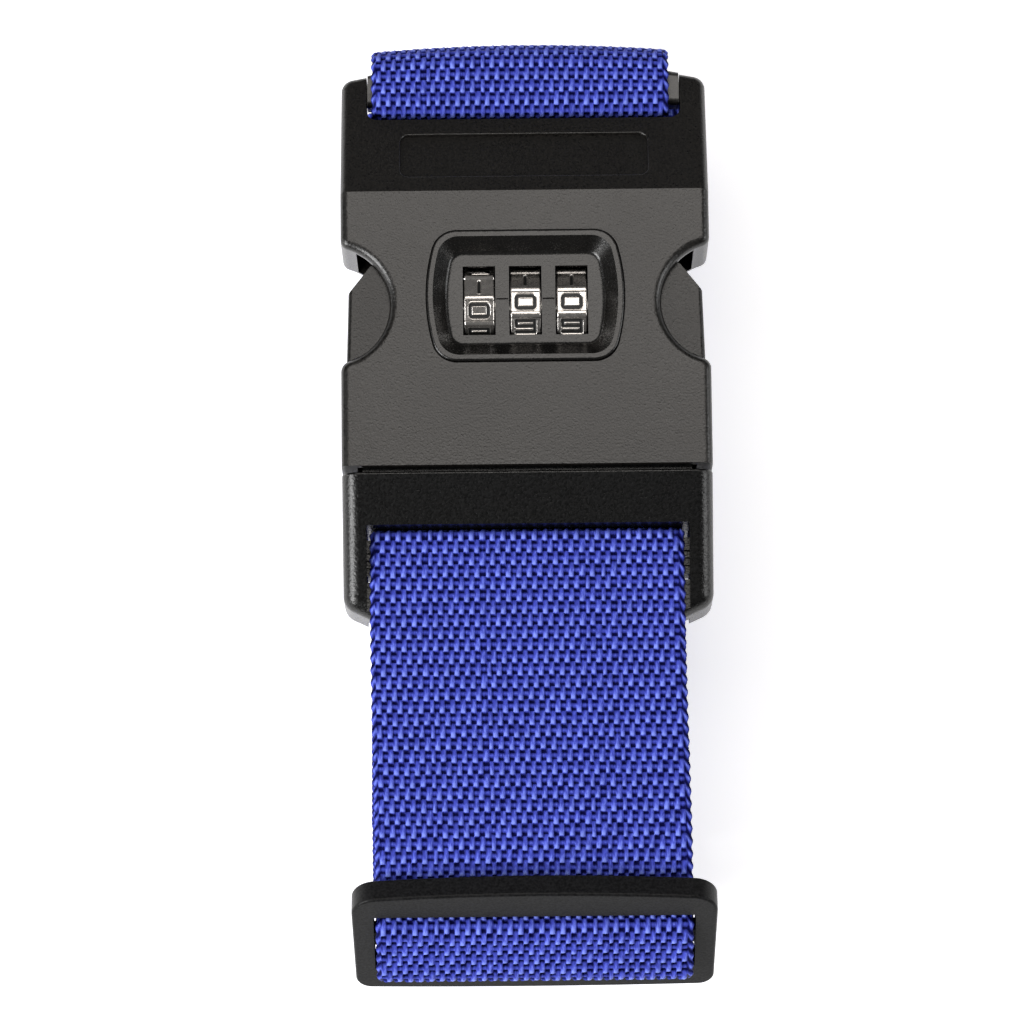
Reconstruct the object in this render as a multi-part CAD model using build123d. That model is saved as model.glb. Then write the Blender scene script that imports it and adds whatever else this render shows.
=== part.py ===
"""Luggage strap: 50 mm webbing folded into a hank behind a side-release buckle with a three-dial lock.

Frame: X across the webbing, +Y from the slider towards the housing's web bar, +Z out of the dials.
The hank rests on z = 0. All sizes are in millimetres.
"""
from build123d import *
import math
import os

os.makedirs("parts", exist_ok=True)

# Webbing
web_width = 50.0
web_thick = 1.4
layer_gap = 0.3

# Height levels of the stack, from the surface it rests on
hank_top = 21.0
hank_end = 70.0
buckle_back = 24.4
buckle_front = 40.4
shell_split = 29.0
front_run_z = 34.7

# Female housing
housing_half = 29.5
housing_low = 4.5
slope_start = 49.25
web_slot_low = 62.7
web_slot_corner = 1.8
slope_end = 72.5
slope_end_z = 29.7
end_tip = 73.6
end_bow_radius = 127.0
ear_end = end_tip - end_bow_radius + math.sqrt(end_bow_radius**2 - housing_half**2)
slot_half = 25.4
wall = 1.8
floor_thick = 1.6
side_wall = 2.5
cavity_end = 59.6
ear_corner = 2.2
rim_radius = 1.3
back_rim_radius = 0.9
label_y = 55.9
label_size = (39.8, 8.6)
label_corner = 1.4
label_depth = 0.5
label_edge = 0.22
notch_radius = 9.65
notch_x = 31.3
notch_y = 30.8
notch_corners = (1.8, 1.5)

# Dials
dial_y = 31.0
dial_z = 33.4
dial_radius = 7.0
dial_flat = 6.5
dial_width = 4.8
dial_pitch = 7.4
dial_bore = 4.0
digits = 10
ridge_width = 0.9
axle_radius = 1.62
sleeve_bore = 1.70
dial_turns = (12.0, 0.0, 0.0)

# Dial bezel
bezel_half_width = 15.8
bezel_half_height = 10.7
bezel_y = 31.9
bezel_side_radius = 30.0
bezel_corner = 4.0
lip_height = 0.6
lip_width = 1.0
recess_depth = 1.9
recess_slope = 2.2
recess_foot = 0.9
bezel_floor = 1.2
window_width = 5.2
window_end = 37.2
dial_clearance = 0.2
index_half_width = 0.95
index_y = 31.7
index_half_height = 0.25
index_depth = 0.45

# Plug
plug_low = -19.3
plug_low_half = 24.5
plug_side_low = -17.0
plug_high = 3.6
plug_low_z = 33.8
plug_high_z = 40.0
plug_corner = 2.8
plug_rim = 2.6
plug_top_edge = 0.35
plug_slot_half = 25.7
bar_front = 33.9
bar_back = 28.9
upper_slot = (-6.4, -4.6)
grip_bar = (-12.2, -6.4)
lower_slot = (-13.2, -12.2)
collar_high = 6.7
arm_pivot_x = 24.55
arm_root_radius = 1.6
arm_low_z = 27.6
arm_high_z = 38.2
arm_stem_x = (23.1, 26.1)
arm_pad_low = 19.5
arm_pad_high = 38.8
collar_half = 26.2
tongue_half = 9.0
tongue_z = (28.5, 33.5)

# Slider (tri-glide), whose place is an angle round the bottom turn
turn_y = -52.4
turn_radius = 16.7
turn_z = front_run_z - turn_radius
slider_angle = 61.0
slider_radius = 16.4
slider_shift = 0.4
slider_half_width = 28.9
slider_taper = 0.4
slider_high = 12.6
slider_low = 12.4
slider_bow_high = 1.4
slider_bow_low = 0.4
slider_corners = (4.0, 2.6)
slider_edges = (0.45, 0.3)
slider_slot_edge = 6.8
slider_thick = 3.9
centre_bar_half = 1.6
centre_bar_z = (0.6, 3.0)
wave_start_angle = 28.0

# Web bar and the webbing round it
web_bar_low = 65.7
web_bar_z = (27.0, 31.5)
web_bar_gap = 0.15
bar_stub_y = (66.6, 69.9)
bar_stub_z = (27.0, 29.2)
bar_stub_half = 27.4
wrap_high_y = 75.35
wrap_front_z = 33.6
wrap_low_y = 63.95
wrap_width = 48.0
wrap_shift = -0.5
back_layer_z = hank_top + layer_gap + web_thick / 2
tail_z = back_layer_z + web_thick
back_layer_high = 61.0
tail_low = 32.0
tail_high = 61.5


def save(shape, node):
    """Write one sub-part's STEP file."""
    export_step(shape, f"parts/{node}.step")


def block(x0, x1, y0, y1, z0, z1):
    """A box between two corners."""
    return Pos((x0 + x1) / 2, (y0 + y1) / 2, (z0 + z1) / 2) * Box(x1 - x0, y1 - y0, z1 - z0)


def stretched(span, extra):
    """A pair of limits moved apart by extra at each end."""
    return span[0] - extra, span[1] + extra


def post(x, y, z0, z1, radius):
    """An upright cylinder between two heights."""
    return Pos(x, y, (z0 + z1) / 2) * Cylinder(radius, z1 - z0)


def prism_x(points, half_width):
    """A closed outline of (y, z) points, extruded both ways along X."""
    outline = Polyline(*[(0, y, z) for y, z in points], close=True)
    return extrude(make_face(outline), amount=half_width, dir=(1, 0, 0), both=True)


def ribbon(points, radii, width=web_width, thick=web_thick, shift=0.0):
    """A flat band along a route of (y, z) corner points, rounded at each corner."""
    corners = [Vector(shift, y, z) for y, z in points]
    if len(corners) == 2:
        path = Line(*corners)
    else:
        path = FilletPolyline(*corners, radius=radii)
    start = Plane(origin=path @ 0, x_dir=(1, 0, 0), z_dir=path % 0)
    return sweep(start * Rectangle(width, thick), path=path)


def turn_band(angle0, angle1, radius, width=web_width, thick=web_thick):
    """A band round the bottom turn between two angles, counted from the top of the turn."""
    centre = Vector(0, turn_y, turn_z)

    def at(angle):
        a = math.radians(angle)
        return centre + Vector(0, -radius * math.sin(a), radius * math.cos(a))

    path = ThreePointArc(at(angle0), at((angle0 + angle1) / 2), at(angle1))
    start = Plane(origin=path @ 0, x_dir=(1, 0, 0), z_dir=path % 0)
    return sweep(start * Rectangle(width, thick), path=path)


def mirrored(shape):
    """The same shape on the other side of X = 0."""
    return mirror(shape, about=Plane.YZ)


# ---------------------------------------------------------------- female housing

screw_places = [(-12.5, 9.8), (12.5, 9.8), (-22.0, 50.2), (22.0, 50.2)]
screw_shank = 0.8
screw_head = 1.9
screw_depth = 1.4
screw_cross = (1.2, 0.2)


def upright_edges(shape, x, y, tol=0.05):
    """Upright edges at y, on both sides of the middle at a distance x."""
    picked = []
    for edge in shape.edges().filter_by(Axis.Z):
        middle = edge.position_at(0.5)
        if abs(abs(middle.X) - x) < tol and abs(middle.Y - y) < tol:
            picked.append(edge)
    return picked


def within_end_bow(shape):
    """The part of a shape inside the gently bowed end of the housing."""
    return shape & post(0, end_tip - end_bow_radius, buckle_back - 1, buckle_front + 1, end_bow_radius)


def housing_block():
    """The housing's outer shape, both shells together, with its web slot and finger notches."""
    outline = [
        (housing_low, buckle_back),
        (housing_low, buckle_front),
        (slope_start, buckle_front),
        (slope_end, slope_end_z),
        (slope_end, buckle_back),
    ]
    body = prism_x(outline, housing_half)
    body -= block(-slot_half, slot_half, web_slot_low, slope_end + 1, buckle_back - 1, buckle_front)
    body = fillet(upright_edges(body, slot_half, web_slot_low), web_slot_corner)
    body = within_end_bow(body)
    for side in (-1, 1):
        body -= post(side * notch_x, notch_y, buckle_back - 1, buckle_front + 1, notch_radius)
    body = fillet(upright_edges(body, housing_half, ear_end), ear_corner)
    reach = math.sqrt(notch_radius**2 - (notch_x - housing_half) ** 2)
    body = fillet(upright_edges(body, housing_half, notch_y - reach), notch_corners[0])
    body = fillet(upright_edges(body, housing_half, notch_y + reach), notch_corners[1])
    rim = []
    for edge in body.edges():
        middle = edge.position_at(0.5)
        side_x = abs(middle.X)
        outside = side_x > slot_half + 0.4 or abs(side_x - (notch_x - notch_radius)) < 1.5
        on_front = abs(middle.Z - buckle_front) < 0.01 and housing_low + 1 < middle.Y < slope_start - 0.2
        at_side = side_x > housing_half - ear_corner - 0.1
        on_slope = at_side and middle.Y > slope_start + 1 and middle.Z > slope_end_z - 0.5
        if outside and (on_front or on_slope):
            rim.append(edge)
    body = fillet(rim, rim_radius)
    back = []
    for edge in body.edges():
        middle = edge.position_at(0.5)
        at_side = abs(middle.X) > housing_half - 0.6
        if abs(middle.Z - buckle_back) < 0.01 and at_side and middle.Y > housing_low + 1:
            back.append(edge)
    return fillet(back, back_rim_radius)


def bezel_outline(inset):
    """The barrel-sided outline of the dial bezel, moved inwards by inset."""
    half_height = bezel_half_height - inset
    radius = bezel_side_radius - inset
    centre = bezel_half_width - bezel_side_radius
    corner_x = centre + math.sqrt(radius**2 - half_height**2)
    side_x = centre + radius
    right = ThreePointArc((corner_x, -half_height), (side_x, 0), (corner_x, half_height))
    left = ThreePointArc((-corner_x, half_height), (-side_x, 0), (-corner_x, -half_height))
    top = Line((corner_x, half_height), (-corner_x, half_height))
    bottom = Line((-corner_x, -half_height), (corner_x, -half_height))
    face = make_face([right, top, left, bottom])
    return fillet(face.vertices(), bezel_corner - 0.55 * inset)


def bezel_slab(inset, z0, z1):
    """The bezel's outline as a flat slab."""
    return extrude(Pos(0, bezel_y, z0) * bezel_outline(inset), amount=z1 - z0)


def make_front_shell(block_shape):
    """Plateau, slope, side walls and screw bosses, open at the back and at the mouth."""
    width = housing_half + 1
    keep = block(-width, width, housing_low - 1, slope_end + 1, shell_split, buckle_front + 1)
    shell = block_shape & keep
    ceiling = buckle_front - wall
    bend_y = slope_start - 0.8
    slope = (buckle_front - slope_end_z) / (slope_end - slope_start)
    cavity = [
        (housing_low - 1, shell_split - 1),
        (housing_low - 1, ceiling),
        (bend_y, ceiling),
        (cavity_end, ceiling - (cavity_end - bend_y) * slope),
        (cavity_end, shell_split - 1),
    ]
    shell -= prism_x(cavity, housing_half - side_wall)
    for x, y in screw_places:
        top = ceiling + 0.4 if y < slope_start - 5 else ceiling - 1.0
        shell += post(x, y, shell_split, top, 2.4)
        shell -= post(x, y, shell_split - 1, shell_split + 6.0, screw_shank)
    shell -= bezel_slab(-0.15, shell_split, buckle_front + 1)
    shell -= block(-bar_stub_half, bar_stub_half, *bar_stub_y, shell_split - 1, bar_stub_z[1])
    # Shallow blank recess for a label on the slope, with a softened rim
    label_z = buckle_front - (label_y - slope_start) * slope
    on_slope = Plane(origin=(0, label_y, label_z), x_dir=(1, 0, 0), z_dir=(0, slope, 1))
    shell -= extrude(on_slope * RectangleRounded(*label_size, label_corner), amount=-label_depth)
    rim = []
    for edge in shell.edges():
        place = on_slope.to_local_coords(edge.position_at(0.5))
        inside = abs(place.X) < label_size[0] / 2 + 0.01 and abs(place.Y) < label_size[1] / 2 + 0.01
        if inside and abs(place.Z) < 0.01:
            rim.append(edge)
    return fillet(rim, label_edge)


reset_slot = (-2.2, 4.2)
reset_slot_half = 1.4
reset_y = dial_y + 13.9
reset_half = 2.6
reset_z = (26.3, 27.5)
reset_thumb_z = 24.7
reset_spring_stop = (10.2, 11.4)
cradle_x = (12.2, 14.0)
cradle_half = 3.0
leaf_y = dial_y - 7.85
leaf_thick = 0.3
leaf_slot_z = (28.0, 34.0)
leaf_rib_x = (10.7, 12.0)
leaf_rib_y = (leaf_y - 0.6, leaf_y + 2.0)
inner_rib_top = 33.0
spring_rib_y = dial_y + 22.5
spring_rib_half = 12.0
spring_rib_thick = 1.2


def make_back_shell(block_shape):
    """The back cover, with the axle's cradles, screw posts, ribs and the reset lever's slot."""
    width = housing_half + 1
    keep = block(-width, width, housing_low - 1, slope_end + 1, buckle_back - 1, shell_split)
    shell = block_shape & keep
    floor = buckle_back + floor_thick
    foot = floor - 0.2
    inner = housing_half - side_wall
    shell -= block(-inner, inner, housing_low - 1, cavity_end, floor, shell_split + 1)
    for x, y in screw_places:
        shell += post(x, y, foot, shell_split - 0.1, screw_head + 0.7)
        shell -= post(x, y, buckle_back - 1, shell_split, screw_shank + 0.2)
        shell -= post(x, y, buckle_back - 1, buckle_back + screw_depth, screw_head + 0.2)
    for side in (-1, 1):
        x0, x1 = sorted(side * x for x in cradle_x)
        cradle = block(x0, x1, dial_y - cradle_half, dial_y + cradle_half, foot, dial_z)
        cradle -= Pos((x0 + x1) / 2, dial_y, dial_z) * Rot(0, 90, 0) * Cylinder(axle_radius, 2 * (x1 - x0))
        shell += cradle
        x0, x1 = sorted(side * x for x in leaf_rib_x)
        rib = block(x0, x1, *leaf_rib_y, foot, inner_rib_top)
        slot_y = (leaf_y - 0.05, leaf_y + leaf_thick + 0.05)
        shell += rib - block(x0 - 1, x1 + 1, *slot_y, *leaf_slot_z)
    rib_end = spring_rib_y + spring_rib_thick
    shell += block(-spring_rib_half, spring_rib_half, spring_rib_y, rib_end, foot, inner_rib_top)
    stop_y = (reset_y - reset_half, reset_y + reset_half)
    shell += block(*reset_spring_stop, *stop_y, foot, reset_z[1] + 0.1)
    slot_y = (reset_y - reset_slot_half, reset_y + reset_slot_half)
    shell -= block(*reset_slot, *slot_y, buckle_back - 1, floor + 1)
    shell -= block(-bar_stub_half, bar_stub_half, *bar_stub_y, bar_stub_z[0], shell_split + 1)
    return shell


def make_web_bar():
    """The bar that the webbing is sewn round, flush with the bowed end, with a stub in each ear."""
    half = slot_half - web_bar_gap
    bar = within_end_bow(block(-half, half, web_bar_low, slope_end + 5, *web_bar_z))
    long_edges = [edge for edge in bar.edges() if edge.length > half]
    bar = fillet(long_edges, 0.9)
    return bar + block(-bar_stub_half, bar_stub_half, *bar_stub_y, *bar_stub_z)


def make_screws():
    """Four identical pan-head screws, driven from the back."""
    screws = []
    for x, y in screw_places:
        head = post(x, y, buckle_back + 0.2, buckle_back + screw_depth, screw_head)
        shank = post(x, y, buckle_back + screw_depth, shell_split + 5.6, screw_shank)
        long, narrow = screw_cross
        cross_z = (buckle_back + 0.1, buckle_back + 0.7)
        cross = block(x - long, x + long, y - narrow, y + narrow, *cross_z)
        cross += block(x - narrow, x + narrow, y - long, y + long, *cross_z)
        screws.append(head + shank - cross)
    return Compound(children=screws)


# ---------------------------------------------------------------- combination lock

dial_places = [(i - 1) * dial_pitch for i in range(3)]


def make_bezel():
    """The framed recess round the dials: raised lip, sloping sides, floor with three windows."""
    floor_top = buckle_front - recess_depth
    bezel = bezel_slab(0.0, floor_top - bezel_floor, buckle_front + lip_height)
    bezel = fillet(bezel.faces().sort_by(Axis.Z)[-1].edges(), 0.35)
    lip_inner = Pos(0, bezel_y, buckle_front + lip_height) * bezel_outline(lip_width)
    floor_outer = Pos(0, bezel_y, floor_top) * bezel_outline(lip_width + recess_slope)
    bezel -= loft([floor_outer, lip_inner], ruled=True)
    foot = [e for e in bezel.edges() if abs(e.position_at(0.5).Z - floor_top) < 0.01]
    bezel = fillet(foot, recess_foot)
    for x in dial_places:
        opening = Rot(0, 90, 0) * Cylinder(dial_radius + dial_clearance, window_width)
        bezel -= Pos(x, dial_y, dial_z) * opening
        x0, x1 = x - window_width / 2, x + window_width / 2
        bezel -= block(x0, x1, dial_y, window_end, floor_top - bezel_floor - 1, floor_top + 1)
    index_rows = (index_y - index_half_height, index_y + index_half_height)
    for x in (-dial_pitch / 2, dial_pitch / 2):
        x0, x1 = x - index_half_width, x + index_half_width
        bezel -= block(x0, x1, *index_rows, floor_top - index_depth, floor_top + 1)
    return bezel


def dial_outline():
    """A ten-sided ring outline with a raised ridge between each two faces, in the YZ plane."""
    points = []
    half_step = math.pi / digits
    ridge = ridge_width / 2
    for k in range(digits):
        a = 2 * half_step * k + half_step
        along = (math.cos(a), math.sin(a))
        across = (-along[1], along[0])
        foot = dial_flat / math.cos(half_step * 0.72)
        profile = [(foot, -ridge - 0.15), (dial_radius, -ridge), (dial_radius, ridge), (foot, ridge + 0.15)]
        for radius, offset in profile:
            y = along[0] * radius + across[0] * offset
            z = along[1] * radius + across[1] * offset
            points.append((y, z))
    return points


def make_dial(x, turn):
    """One number dial, bored for its sleeve."""
    ring = prism_x([(z, y) for y, z in dial_outline()], dial_width / 2)
    ring = chamfer(ring.faces().sort_by(Axis.X)[0].outer_wire().edges(), 0.12)
    ring = chamfer(ring.faces().sort_by(Axis.X)[-1].outer_wire().edges(), 0.12)
    ring -= Rot(0, 90, 0) * Cylinder(dial_bore, dial_width + 2)
    return Pos(x, dial_y, dial_z) * Rot(turn, 0, 0) * ring


def make_sleeve(x, turn):
    """The keyed sleeve inside a dial, with a notched flange that reads the code."""
    flange_radius = 3.3
    flange_thick = 1.2
    sleeve = Rot(0, 90, 0) * Cylinder(dial_bore, dial_width)
    flange = Rot(0, 90, 0) * Cylinder(flange_radius, flange_thick)
    sleeve += Pos((dial_width + flange_thick) / 2, 0, 0) * flange
    sleeve -= Rot(0, 90, 0) * Cylinder(sleeve_bore, 20)
    sleeve -= block(dial_width / 2, dial_width, flange_radius - 1.0, flange_radius + 1, -0.9, 0.9)
    return Pos(x, dial_y, dial_z) * Rot(turn, 0, 0) * sleeve


def make_axle():
    """The fixed rod that the sleeves turn on."""
    return Pos(0, dial_y, dial_z) * Rot(0, 90, 0) * Cylinder(axle_radius, 2 * cradle_x[1])


def make_detent_spring():
    """A leaf spring with one finger for each dial, in the slots of the back shell's ribs."""
    face_y = leaf_y + leaf_thick
    half = leaf_rib_x[1] - 0.1
    finger_half = 1.5
    finger_foot = leaf_slot_z[0] + 2.0
    spring = block(-half, half, leaf_y, face_y, leaf_slot_z[0] + 0.2, finger_foot)
    for x in dial_places:
        x0, x1 = x - finger_half, x + finger_half
        spring += block(x0, x1, leaf_y, face_y, finger_foot, dial_z + 1.6)
        spring += block(x0, x1, face_y, face_y + 0.3, dial_z - 0.4, dial_z + 0.4)
    return spring


lock_half = 20.8
lock_y = (dial_y + 12.4, dial_y + 15.3)
lock_z = (28.0, 35.0)
finger_width = 3.2
finger_length = 4.3
tooth_reach = 3.7
tooth_half = 0.7
tooth_thick = 0.8


def make_lock_bar():
    """The bar that stops the arms: two outer fingers, and one tooth for each sleeve's notch."""
    bar = block(-lock_half, lock_half, *lock_y, *lock_z)
    for side in (-1, 1):
        x0, x1 = sorted((side * (lock_half - finger_width), side * lock_half))
        bar += block(x0, x1, lock_y[0] - finger_length, lock_y[0], *lock_z)
    for x in dial_places:
        x0 = x + dial_width / 2 + 0.2
        tooth_z = (dial_z - tooth_half, dial_z + tooth_half)
        bar += block(x0, x0 + tooth_thick, dial_y + tooth_reach, lock_y[0], *tooth_z)
    return bar


def make_lock_spring():
    """A bowed leaf spring between the lock bar and the rib behind it."""
    end_y = spring_rib_y - 0.3
    half, bow, z = 10.0, 6.6, 31.0
    path = ThreePointArc((-half, end_y, z), (0.0, end_y - bow, z), (half, end_y, z))
    start = Plane(origin=path @ 0, x_dir=(0, 0, 1), z_dir=path % 0)
    return sweep(start * Rectangle(3.6, 0.4), path=path)


def make_reset_lever():
    """A small slide in the back shell that frees the sleeves to set a new code."""
    plate_half, thumb_half = 5.0, 2.0
    rib_pitch, rib_half = 1.1, 0.2
    lever = block(-plate_half, plate_half, reset_y - reset_half, reset_y + reset_half, *reset_z)
    thumb_y = (reset_y - reset_slot_half + 0.2, reset_y + reset_slot_half - 0.2)
    lever += block(-thumb_half, thumb_half, *thumb_y, reset_thumb_z, reset_z[0])
    for i in range(3):
        x = (i - 1) * rib_pitch
        groove_z = (reset_thumb_z - 0.1, reset_thumb_z + 0.25)
        lever -= block(x - rib_half, x + rib_half, *stretched(thumb_y, 0.8), *groove_z)
    return lever


def make_reset_spring():
    """A folded leaf spring that returns the reset lever."""
    points = [(5.1, -1.6), (9.8, -1.1), (5.4, 0.3), (9.8, 1.4)]
    z = sum(reset_z) / 2
    path = FilletPolyline(*[Vector(x, reset_y + y, z) for x, y in points], radius=0.5)
    start = Plane(origin=path @ 0, x_dir=(0, 0, 1), z_dir=path % 0)
    return sweep(start * Rectangle(1.0, 0.25), path=path)


# ---------------------------------------------------------------- plug


def plug_plan():
    """The plug's outline from the front: slanted lower edges that meet the sides in round corners."""
    outline = Polyline(
        (-housing_half, plug_high),
        (-housing_half, plug_side_low),
        (-plug_low_half, plug_low),
        (plug_low_half, plug_low),
        (housing_half, plug_side_low),
        (housing_half, plug_high),
        close=True,
    )
    face = make_face(outline)
    corners = [v for v in face.vertices() if abs(abs(v.X) - housing_half) < 0.01 and v.Y < plug_high - 1]
    return fillet(corners, plug_corner)


def make_plug_frame():
    """The plug's moulding: web frame with its bars, collar and centre guide tongue."""
    side_view = [
        (plug_low, buckle_back),
        (plug_low, plug_low_z),
        (plug_high, plug_high_z),
        (plug_high, buckle_back),
    ]
    plan = extrude(Pos(0, 0, buckle_back - 1) * plug_plan(), amount=plug_high_z - buckle_back + 2)
    frame = prism_x(side_view, housing_half) & plan
    rim = []
    for edge in frame.edges():
        middle = edge.position_at(0.5)
        if abs(middle.X) > plug_low_half + 1 and middle.Z > plug_low_z - 0.2 and middle.Y < plug_high - 0.5:
            rim.append(edge)
    frame = fillet(rim, plug_rim)
    top = []
    for edge in frame.edges():
        middle = edge.position_at(0.5)
        if abs(middle.Y - plug_high) < 0.01 and abs(middle.Z - plug_high_z) < 0.01:
            top.append(edge)
    frame = fillet(top, plug_top_edge)
    passage = (-plug_slot_half, plug_slot_half)
    below, above = buckle_back - 1, plug_high_z + 2
    frame -= block(*passage, plug_low - 1, upper_slot[1], below, bar_back)
    frame -= block(*passage, *upper_slot, below, above)
    frame -= block(*passage, *lower_slot, below, above)
    frame -= block(*passage, plug_low - 1, upper_slot[1], bar_front, above)
    groove_pitch, groove_half, groove_depth = 1.2, 0.25, 0.5
    for i in range(3):
        y = grip_bar[0] + 1.1 + groove_pitch * i
        frame -= block(*passage, y - groove_half, y + groove_half, bar_front - groove_depth, bar_front + 1)
    collar_low_z = buckle_back + 2.0
    collar_z = (collar_low_z - 0.4, arm_high_z + 0.8)
    collar = block(-collar_half, collar_half, plug_high, collar_high, collar_low_z, arm_high_z)
    for side in (-1, 1):
        collar -= post(side * arm_pivot_x, collar_high, *collar_z, arm_root_radius + 0.05)
        x0, x1 = sorted((side * (collar_half - 0.2), side * (collar_half + 0.8)))
        collar -= block(x0, x1, collar_high - 1.2, collar_high + 1, *collar_z)
    frame += collar
    tongue_end = leaf_y - 0.9
    tongue = block(-tongue_half, tongue_half, collar_high - 0.5, tongue_end, *tongue_z)
    tongue = fillet(upright_edges(tongue, tongue_half, tongue_end), 2.0)
    window_half = 4.0
    window_y = (tongue_end - 9.0, tongue_end - 3.5)
    tongue -= block(-window_half, window_half, *window_y, *stretched(tongue_z, 1.0))
    return frame + tongue


def make_arm():
    """The right spring arm: stem, shoulder behind the notch's edge, and finger pad."""
    pivot = Vector(arm_pivot_x, collar_high)
    x0, x1 = arm_stem_x
    stem_end = arm_pad_low + 5.5
    stem_points = [(x0, collar_high), (x1, collar_high), (x1, stem_end), (x0, stem_end)]
    stem = make_face(Polyline(*stem_points, close=True))
    root = Pos(*pivot) * Circle(arm_root_radius)
    # Pad outline: shoulder, outer face with its slant, and the nose behind the lock bar's finger
    pad_points = [
        (21.3, 25.5),
        (24.0, arm_pad_low),
        (28.7, arm_pad_low),
        (28.3, 33.0),
        (24.8, 37.4),
        (22.4, arm_pad_high),
        (21.3, 38.2),
    ]
    pad = make_face(Polyline(*pad_points, close=True))
    # The part of the pad inside the housing's side wall, plus the part inside the finger notch
    inner_x = housing_half - side_wall - 0.4
    low, high = arm_pad_low - 2, arm_pad_high + 2
    low_x = pad_points[0][0] - 1.0
    inside = make_face(Polyline((low_x, low), (inner_x, low), (inner_x, high), (low_x, high), close=True))
    inside += Pos(notch_x, notch_y) * Circle(notch_radius - 0.3)
    pad = pad & inside
    arm = extrude(Pos(0, 0, arm_low_z) * (stem + root + pad), amount=arm_high_z - arm_low_z)
    edges = []
    for edge in arm.edges():
        middle = edge.position_at(0.5)
        if abs(middle.Z - arm_high_z) < 0.01 and middle.X > inner_x + 0.2 and middle.Y > arm_pad_low + 4:
            edges.append(edge)
    return fillet(edges, 0.7)


# ---------------------------------------------------------------- slider

slider_a = math.radians(slider_angle)
slider_plane = Plane(
    origin=(
        slider_shift,
        turn_y - slider_radius * math.sin(slider_a),
        turn_z + slider_radius * math.cos(slider_a),
    ),
    x_dir=(1, 0, 0),
    z_dir=(0, -math.sin(slider_a), math.cos(slider_a)),
)


def make_slider_frame():
    """The three-bar slide as one moulding, with bowed rails and sides that taper a little."""
    high_x, low_x = slider_half_width, slider_half_width - slider_taper
    high, low = slider_high - slider_bow_high, slider_bow_low - slider_low
    sides = [
        Line((-low_x, low), (-high_x, high)),
        ThreePointArc((-high_x, high), (0, slider_high), (high_x, high)),
        Line((high_x, high), (low_x, low)),
        ThreePointArc((low_x, low), (0, -slider_low), (-low_x, low)),
    ]
    face = make_face(sides)
    upper_corners = face.vertices().filter_by_position(Axis.Y, 0, slider_high)
    face = fillet(upper_corners, slider_corners[0])
    lower_corners = face.vertices().filter_by_position(Axis.Y, -slider_low, low + 0.1)
    face = fillet(lower_corners, slider_corners[1])
    frame = extrude(face, amount=slider_thick)
    frame = fillet(frame.faces().sort_by(Axis.Z)[-1].edges(), slider_edges[0])
    frame = fillet(frame.faces().sort_by(Axis.Z)[0].edges(), slider_edges[1])
    slot_x, slot_y = slot_half, slider_slot_edge
    frame -= block(-slot_x, slot_x, -slot_y, slot_y, -1, slider_thick + 1)
    bar = block(-slot_x - 0.2, slot_x + 0.2, -centre_bar_half, centre_bar_half, *centre_bar_z)
    return slider_plane * (frame + bar)


def make_slider_wave():
    """The running webbing over the centre bar, from under one rail to under the other."""
    b = math.radians(wave_start_angle)
    start = (turn_radius * math.sin(b), turn_radius * math.cos(b) - slider_radius)
    lead = 1.9
    inner = (start[0] - lead * math.cos(b), start[1] + lead * math.sin(b))
    over = [(4.6, 4.95), (-3.6, 7.0), (-6.8, 6.7), (-4.7, 1.9)]
    points = [start, inner] + over + [(-inner[0], inner[1]), (-start[0], start[1])]
    return slider_plane * ribbon(points, [0.8, 1.6, 2.2, 1.3, 2.0, 0.8])


def make_end_loop():
    """The strap's sewn end where it passes round the centre bar."""
    outer_n = (centre_bar_z[0] - web_thick, centre_bar_z[1] + web_thick)
    outer_u = centre_bar_half + web_thick
    loop = block(-web_width / 2, web_width / 2, -outer_u, outer_u, *outer_n)
    loop = fillet(loop.edges().filter_by(Axis.X), 1.4)
    loop -= block(-web_width, web_width, -centre_bar_half, centre_bar_half, *centre_bar_z)
    return slider_plane * loop


# ---------------------------------------------------------------- webbing


def make_hank():
    """The folded strap behind the buckle as one plain solid."""
    hank = block(-web_width / 2, web_width / 2, turn_y, hank_end, 0.0, hank_top)
    return fillet(hank.edges().filter_by(Axis.X).sort_by(Axis.Y)[-2:], 4.0)


def make_front_leg():
    """The visible leg, from the plug's lower bar to the slider's upper slot."""
    flat = ribbon([(plug_low - 0.3, front_run_z), (turn_y, front_run_z)], None)
    return flat + turn_band(0, slider_angle - wave_start_angle, turn_radius)


def make_bottom_turn():
    """The strap's turn under the slider, down to the lowest layer."""
    return turn_band(slider_angle + wave_start_angle, 180, turn_radius)


def make_plug_wrap():
    """The webbing round the plug's grip bar."""
    back_z = bar_back - web_thick / 2 - 0.1
    front_z = front_run_z
    slot_y = upper_slot[0] + web_thick / 2 + 0.25
    points = [(plug_low - 0.3, back_z), (slot_y, back_z), (slot_y, front_z), (plug_low - 0.3, front_z)]
    return ribbon(points, [1.0, 1.0])


leg_gap = 0.2
rear_radius = turn_radius - web_thick - leg_gap
sewn_radius = rear_radius - web_thick
rear_leg_low = 44.0


def make_rear_leg():
    """The hidden leg, from the slider's sewn end to the back of the plug's bars."""
    back_z = bar_back - web_thick / 2 - 0.1
    top_z = turn_z + rear_radius
    flat_end = turn_y + 12.0
    points = [(turn_y, top_z), (flat_end, top_z), (plug_low - 6.0, back_z), (plug_low - 0.3, back_z)]
    return turn_band(rear_leg_low, 0, rear_radius) + ribbon(points, [14.0, 14.0])


def make_sewn_end():
    """The strap's cut end, folded back under the rear leg and sewn to it."""
    top_z = turn_z + sewn_radius
    return turn_band(rear_leg_low, 0, sewn_radius) + ribbon([(turn_y, top_z), (turn_y + 9.5, top_z)], None)


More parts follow.
